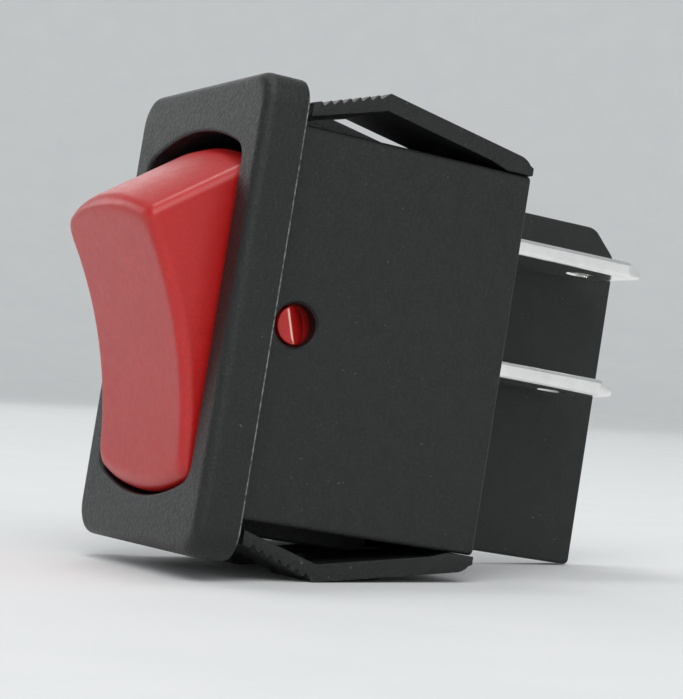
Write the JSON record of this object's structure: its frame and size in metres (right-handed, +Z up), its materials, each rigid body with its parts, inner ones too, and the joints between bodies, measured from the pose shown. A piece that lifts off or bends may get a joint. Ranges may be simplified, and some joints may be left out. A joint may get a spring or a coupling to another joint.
{
  "type": "rocker switch",
  "caption": "Small snap-in rocker switch: round-cornered bezel, red dished rocker, flat-sided body with serrated snap arms, spade tabs and a barrier wall.",
  "frame": {"origin": "middle of the bezel's rear face, on the plane of the panel's front face", "axes": "+Z up along the bezel's long side, towards the end of the rocker that stands out at rest; +Y to the rear, out of the panel's back; +X to the right as seen from the front"},
  "size_m": [0.015, 0.0287, 0.0216],
  "materials": {
    "black_nylon": "fine matte spark-eroded texture",
    "black_insert": "fine matte, plain moulded faces",
    "red_nylon": "satin, faint orange peel",
    "white_acetal": "satin",
    "spring_steel": "drawn wire",
    "copper": "rolled copper strip",
    "silver": "silver alloy contact face",
    "tinned_brass": "bright tin over stamped brass"
  },
  "bodies": {
    "housing": {"housing": "black_nylon", "terminal_base": "black_insert", "load_terminal": "tinned_brass", "common_terminal": "tinned_brass", "fixed_contact": "silver"},
    "rocker": {"rocker": "red_nylon", "plunger_spring": "spring_steel"},
    "plunger": {"plunger": "white_acetal"},
    "contact_arm": {"contact_arm": "copper", "moving_contact": "silver"},
    "top_snap_arm": {"top_snap_arm": "black_nylon"},
    "bottom_snap_arm": {"bottom_snap_arm": "black_nylon"}
  },
  "joints": [
    {"name": "rocker_tilt", "type": "hinge", "parent": "housing", "child": "rocker", "pos_m": [0, 0.00146, 0], "axis": [1, 0, 0], "range_deg": [-36, 0]},
    {"name": "plunger_slide", "type": "slide", "parent": "rocker", "child": "plunger", "axis": [0, 0.9511, 0.309], "range_m": [-0.0006, 0], "stiffness_N_per_m": 300, "springref_m": 0.0004, "deforming": ["plunger_spring"]},
    {"name": "contact_rock", "type": "hinge", "parent": "housing", "child": "contact_arm", "pos_m": [0, 0.0086, 0], "axis": [1, 0, 0], "range_deg": [0, 20]},
    {"name": "top_arm_flex", "type": "hinge", "parent": "housing", "child": "top_snap_arm", "pos_m": [0, 0.0113, 0.00895], "axis": [1, 0, 0], "range_deg": [0, 1.5], "stiffness_Nm_per_rad": 0.05},
    {"name": "bottom_arm_flex", "type": "hinge", "parent": "housing", "child": "bottom_snap_arm", "pos_m": [0, 0.0113, -0.00895], "axis": [1, 0, 0], "range_deg": [-1.5, 0], "stiffness_Nm_per_rad": 0.05}
  ],
  "couplings": [
    {"joint": "contact_rock", "follows": "rocker_tilt", "ratio": -0.5555}
  ]
}
